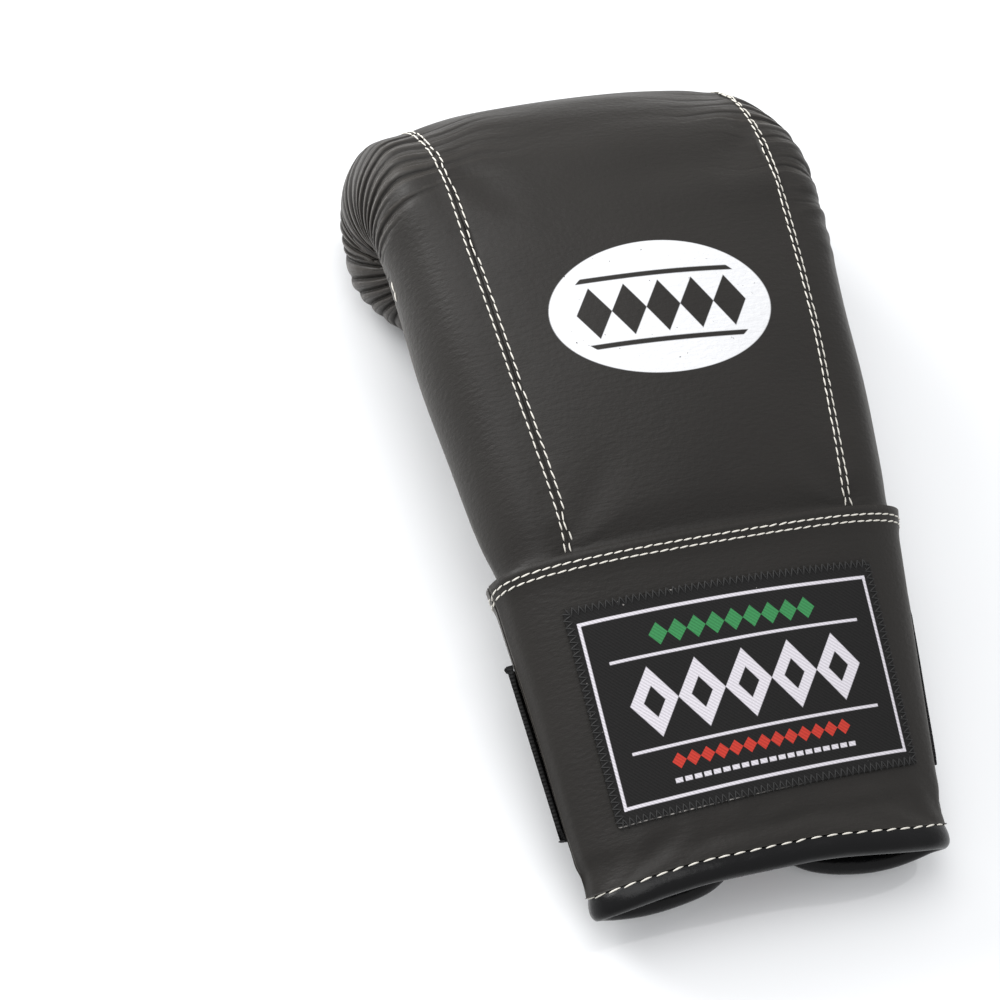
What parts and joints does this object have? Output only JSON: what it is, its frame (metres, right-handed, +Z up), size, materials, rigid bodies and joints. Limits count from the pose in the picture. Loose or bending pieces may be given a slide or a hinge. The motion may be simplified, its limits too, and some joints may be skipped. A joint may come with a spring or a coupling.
{
  "type": "bag glove",
  "caption": "Padded leather boxing bag mitt for the right hand, with curled finger end, wrist cuff, palm elastic and woven patch.",
  "frame": {"origin": "centre of the bounding box on the surface that the mitt lies on, palm down", "axes": "+Y from the cuff to the knuckles, +Z up out of the back of the hand, +X to the little-finger side"},
  "size_m": [0.1576, 0.2733, 0.073],
  "materials": {
    "leather": "soft matte black-brown leather with a fine grain",
    "binding": "smooth semi-gloss black leather",
    "elastic": "ribbed black elastic",
    "lining": "red lining with a fine rib",
    "label": "woven black patch"
  },
  "bodies": {
    "root": {"back_panel": "leather", "side_gusset_little": "leather", "side_gusset_thumb": "leather", "palm_panel": "leather", "thumb_stall": "leather", "cuff_back": "leather", "cuff_flap_little": "leather", "cuff_flap_thumb": "leather", "rim_binding": "binding", "elastic_band": "elastic", "cuff_lining": "lining", "woven_label": "label"}
  },
  "joints": []
}
